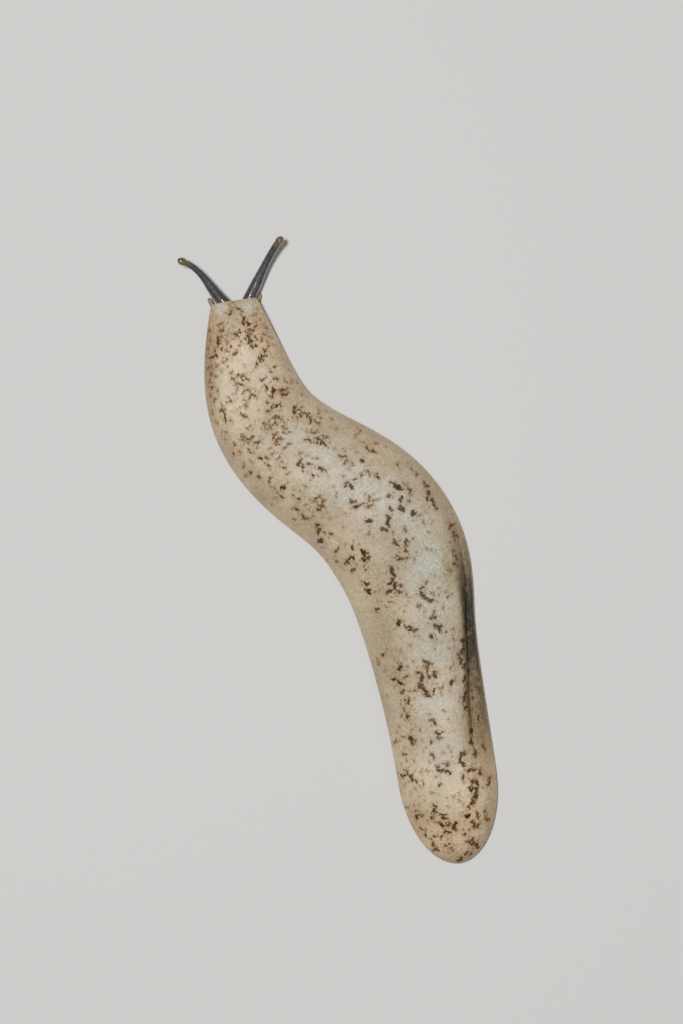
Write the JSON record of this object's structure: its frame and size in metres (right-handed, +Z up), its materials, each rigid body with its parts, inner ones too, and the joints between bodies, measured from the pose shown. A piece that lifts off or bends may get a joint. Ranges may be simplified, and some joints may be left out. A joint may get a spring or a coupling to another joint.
{
  "type": "pancake slug",
  "caption": "Life-size leathery land slug in a shallow S curve, flat sole on the floor, eyestalks and forked lower tentacles out.",
  "frame": {"origin": "on the floor under the middle of the whole slug's box", "axes": "+Z up, +Y towards the head, +X to the slug's right as it faces +Y"},
  "size_m": [0.0497, 0.0975, 0.008],
  "materials": {
    "mantle_skin": "matte, finely grained cream-tan skin with dark brown flecks",
    "sole_skin": "moist pale sole with fine cross furrows",
    "head_skin": "moist grey-brown skin",
    "stalk_skin": "wet, glossy blue-grey skin with faint rings",
    "eye_tip": "glossy light brown tip with a small black eye",
    "tentacle_skin": "moist pinkish brown skin"
  },
  "bodies": {
    "root": {"mantle_front": "mantle_skin", "mantle_middle_front": "mantle_skin", "mantle_middle_rear": "mantle_skin", "mantle_tail": "mantle_skin", "foot_front": "sole_skin", "foot_middle": "sole_skin", "foot_rear": "sole_skin", "head": "head_skin", "eyestalk_left": "stalk_skin", "eyestalk_right": "stalk_skin", "eye_left": "eye_tip", "eye_right": "eye_tip", "lower_tentacle_left": "tentacle_skin", "lower_tentacle_right": "tentacle_skin"}
  },
  "joints": []
}
